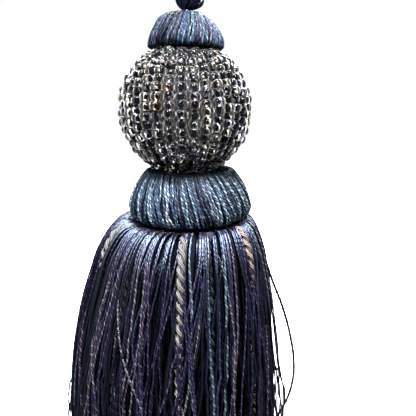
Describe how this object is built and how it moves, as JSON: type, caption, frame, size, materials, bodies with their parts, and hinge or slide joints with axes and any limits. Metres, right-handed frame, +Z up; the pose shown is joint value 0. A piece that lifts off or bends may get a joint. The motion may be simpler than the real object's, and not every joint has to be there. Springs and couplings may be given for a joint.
{
  "type": "hanging tassel",
  "caption": "Hanging decorative tassel: cord loop and knot, thread-wrapped ruffs round a beaded ball, and a long skirt of yarns with twisted cords.",
  "frame": {"origin": "inner side of the hanging loop at its top, where it bears on a hook", "axes": "+Z up along the hanging tassel, -Y towards the front"},
  "size_m": [0.0598, 0.0597, 0.201],
  "materials": {
    "loop_cord": "dark navy satin cord",
    "ruff_thread": "slate and navy satin thread, wound side by side",
    "glass_beads": "clear, smoky and dark seed beads on strings",
    "skirt_yarn": "twisted satin yarn in navy, denim, teal and lavender grey",
    "gimp_cord": "two-ply twisted cord in warm grey"
  },
  "bodies": {
    "root": {"hanging_loop": "loop_cord", "knot": "loop_cord", "upper_ruff": "ruff_thread", "beaded_ball": "glass_beads", "lower_ruff": "ruff_thread", "skirt": "skirt_yarn", "gimp_cord_1": "gimp_cord", "gimp_cord_2": "gimp_cord", "gimp_cord_3": "gimp_cord", "gimp_cord_4": "gimp_cord", "gimp_cord_5": "gimp_cord", "gimp_cord_6": "gimp_cord", "gimp_cord_7": "gimp_cord", "gimp_cord_8": "gimp_cord", "gimp_cord_9": "gimp_cord", "gimp_cord_10": "gimp_cord", "gimp_cord_11": "gimp_cord", "gimp_cord_12": "gimp_cord"}
  },
  "joints": []
}
